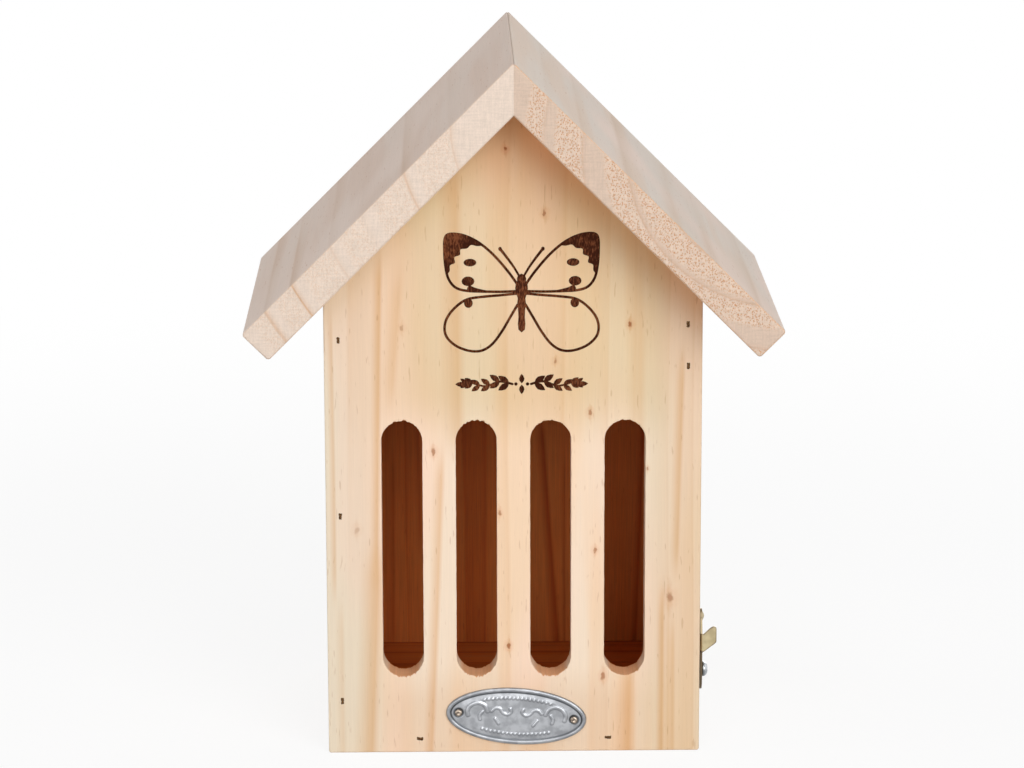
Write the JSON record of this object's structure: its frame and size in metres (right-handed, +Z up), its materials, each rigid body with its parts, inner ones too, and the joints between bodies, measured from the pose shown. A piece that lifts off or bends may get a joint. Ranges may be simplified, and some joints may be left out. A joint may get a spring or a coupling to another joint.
{
  "type": "butterfly house",
  "caption": "Small gabled wooden shelter for butterflies: tall round-ended entrance slots in front, a side that swings out on hidden pivots, and a turn latch that holds it shut.",
  "frame": {"origin": "middle of the body's underside, where the floor board's lower face rests", "axes": "+Z up, -Y out of the slotted front, +Y out of the back, +X towards the side that opens"},
  "size_m": [0.1828, 0.132, 0.2466],
  "materials": {
    "pine_panel": "planed bare pine, grain upright",
    "pine_wall": "planed bare pine, grain upright",
    "pine_roof": "sawn and lightly sanded bare pine, grain front to back",
    "galvanised_tag": "pressed galvanised sheet",
    "yellow_plated_steel": "pale yellow zinc plate",
    "bright_screw_steel": "bright zinc plate",
    "brad_steel": "resin-coated wire, dull"
  },
  "bodies": {
    "house": {"front_panel": "pine_panel", "back_panel": "pine_panel", "left_wall": "pine_wall", "lintel": "pine_wall", "floor_board": "pine_wall", "roof_left": "pine_roof", "roof_right": "pine_roof", "oval_tag": "galvanised_tag", "tag_pin_left": "galvanised_tag", "tag_pin_right": "galvanised_tag", "latch_screw": "bright_screw_steel", "brad_front_left_low": "brad_steel", "brad_front_left_middle": "brad_steel", "brad_front_left_top": "brad_steel", "brad_front_floor_left": "brad_steel", "brad_front_floor_right": "brad_steel", "brad_front_lintel": "brad_steel", "brad_front_door_pivot": "brad_steel", "brad_back_left_low": "brad_steel", "brad_back_left_middle": "brad_steel", "brad_back_left_top": "brad_steel", "brad_back_floor_left": "brad_steel", "brad_back_floor_right": "brad_steel", "brad_back_lintel": "brad_steel", "brad_back_door_pivot": "brad_steel"},
    "door": {"door": "pine_wall"},
    "latch": {"turn_latch": "yellow_plated_steel"}
  },
  "joints": [
    {"name": "door_swing", "type": "hinge", "parent": "house", "child": "door", "pos_m": [0.0602, 0, 0.13869], "axis": [0, -1, 0], "range_deg": [0, 90]},
    {"name": "latch_turn", "type": "hinge", "parent": "house", "child": "latch", "pos_m": [0.065, -0.05, 0.0284], "axis": [-1, 0, 0], "range_deg": [0, 90]}
  ]
}
